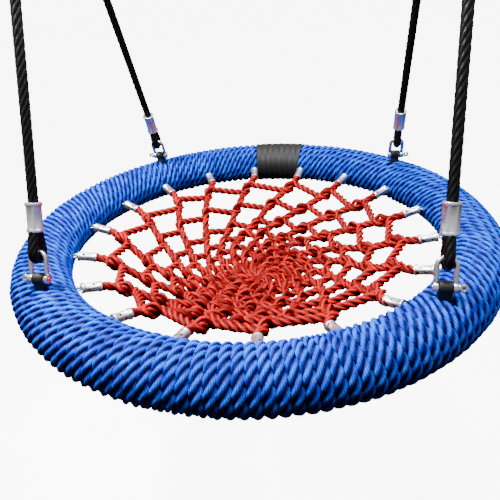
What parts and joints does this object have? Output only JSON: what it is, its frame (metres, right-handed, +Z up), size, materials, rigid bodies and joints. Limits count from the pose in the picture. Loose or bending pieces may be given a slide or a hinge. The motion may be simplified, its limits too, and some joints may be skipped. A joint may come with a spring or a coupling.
{
  "type": "nest swing",
  "caption": "Round nest swing: padded steel ring wound with rope, knotted rope net seat, four ropes in shackles that meet in two hangers.",
  "frame": {"origin": "midway between the inner crowns of the two hanger shackles, where the beam's hooks carry the swing", "axes": "+Z up, +X along the line of the two hangers to the right hanger, +Y to the back, where the black splice cover is"},
  "size_m": [1, 1.002, 1.152],
  "materials": {
    "ring_steel": "galvanised tube, hidden under the foam",
    "foam": "closed-cell foam sleeve",
    "blue_rope": "glossy laid polypropylene rope",
    "black_sleeve": "matt heat-shrunk sleeve",
    "red_rope": "laid rope with a soft sheen",
    "black_rope": "laid rope with a soft sheen",
    "black_lug": "black coated steel",
    "pressed_alloy": "satin, marked by the press",
    "plated_steel": "bright plated steel"
  },
  "bodies": {
    "hangers": {"left_hanger_shackle": "plated_steel", "right_hanger_shackle": "plated_steel", "left_hanger_pin": "plated_steel", "right_hanger_pin": "plated_steel"},
    "seat": {"ring_tube": "ring_steel", "foam_sleeve_front": "foam", "foam_sleeve_right": "foam", "foam_sleeve_back": "foam", "foam_sleeve_left": "foam", "rope_winding": "blue_rope", "splice_cover": "black_sleeve", "net_eye_studs": "plated_steel", "net_ferrules": "pressed_alloy", "seat_net": "red_rope", "front_left_lug": "black_lug", "front_left_rope": "black_rope", "front_left_upper_ferrule": "pressed_alloy", "front_left_thimble": "plated_steel", "front_right_lug": "black_lug", "front_right_rope": "black_rope", "front_right_upper_ferrule": "pressed_alloy", "front_right_thimble": "plated_steel", "back_right_lug": "black_lug", "back_right_rope": "black_rope", "back_right_upper_ferrule": "pressed_alloy", "back_right_thimble": "plated_steel", "back_left_lug": "black_lug", "back_left_rope": "black_rope", "back_left_upper_ferrule": "pressed_alloy", "back_left_thimble": "plated_steel"},
    "front_left_rope_end": {"front_left_shackle": "plated_steel", "front_left_pin": "plated_steel", "front_left_rope_eye": "black_rope", "front_left_lower_ferrule": "pressed_alloy"},
    "front_right_rope_end": {"front_right_shackle": "plated_steel", "front_right_pin": "plated_steel", "front_right_rope_eye": "black_rope", "front_right_lower_ferrule": "pressed_alloy"},
    "back_right_rope_end": {"back_right_shackle": "plated_steel", "back_right_pin": "plated_steel", "back_right_rope_eye": "black_rope", "back_right_lower_ferrule": "pressed_alloy"},
    "back_left_rope_end": {"back_left_shackle": "plated_steel", "back_left_pin": "plated_steel", "back_left_rope_eye": "black_rope", "back_left_lower_ferrule": "pressed_alloy"}
  },
  "joints": [
    {"name": "swing", "type": "hinge", "parent": "hangers", "child": "seat", "pos_m": [0, 0, -0.062], "axis": [1, 0, 0], "range_deg": [-45, 45]},
    {"name": "front_left_shackle_turn", "type": "hinge", "parent": "seat", "child": "front_left_rope_end", "pos_m": [-0.31395, -0.31395, -0.946], "axis": [1, 0, 0], "range_deg": [-8, 8], "stiffness_Nm_per_rad": 8, "deforming": ["front_left_rope"]},
    {"name": "front_right_shackle_turn", "type": "hinge", "parent": "seat", "child": "front_right_rope_end", "pos_m": [0.34012, -0.2854, -0.946], "axis": [1, 0, 0], "range_deg": [-8, 8], "stiffness_Nm_per_rad": 8, "deforming": ["front_right_rope"]},
    {"name": "back_right_shackle_turn", "type": "hinge", "parent": "seat", "child": "back_right_rope_end", "pos_m": [0.31395, 0.31395, -0.946], "axis": [1, 0, 0], "range_deg": [-8, 8], "stiffness_Nm_per_rad": 8, "deforming": ["back_right_rope"]},
    {"name": "back_left_shackle_turn", "type": "hinge", "parent": "seat", "child": "back_left_rope_end", "pos_m": [-0.31668, 0.3112, -0.946], "axis": [1, 0, 0], "range_deg": [-8, 8], "stiffness_Nm_per_rad": 8, "deforming": ["back_left_rope"]}
  ]
}
